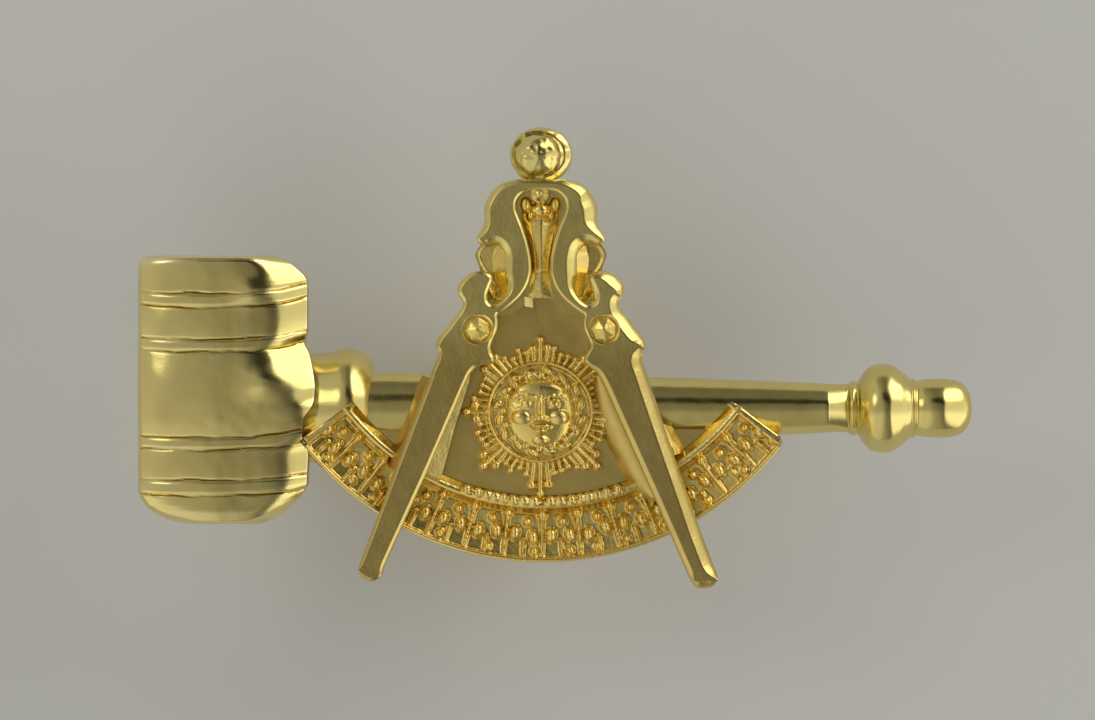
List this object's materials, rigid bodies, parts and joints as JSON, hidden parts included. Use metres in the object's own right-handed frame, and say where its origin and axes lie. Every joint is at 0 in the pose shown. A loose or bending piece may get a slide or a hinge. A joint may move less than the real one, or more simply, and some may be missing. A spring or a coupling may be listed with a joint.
{
  "type": "masonic lapel pin",
  "caption": "Gold plated lapel pin: a gavel behind compasses on a graduated quadrant with a sun face, a post and a round clutch.",
  "frame": {"origin": "on the surface that the clutch's flat base rests on, under the middle of the emblem's outline", "axes": "+X along the gavel towards the end of its handle, +Y towards the ball on top of the compasses, +Z out of the emblem's face"},
  "size_m": [0.0278, 0.0154, 0.0088],
  "materials": {
    "gold_plate": "polished gold plate, softly worn",
    "field_gold": "smooth recessed gold plate, slightly dull",
    "struck_gold": "struck relief in warmer gold plate with fine texture",
    "fastener_gold": "plain satin gold plate"
  },
  "bodies": {
    "root": {"gavel_head": "gold_plate", "gavel_handle": "gold_plate", "field_plate": "field_gold", "quadrant": "struck_gold", "sun": "struck_gold", "compass_head": "gold_plate", "compass_leg_left": "gold_plate", "compass_leg_right": "gold_plate", "spindle": "struck_gold", "leg_stud_left": "struck_gold", "leg_stud_right": "struck_gold", "ball_finial": "gold_plate", "post": "fastener_gold", "clutch": "fastener_gold"}
  },
  "joints": []
}
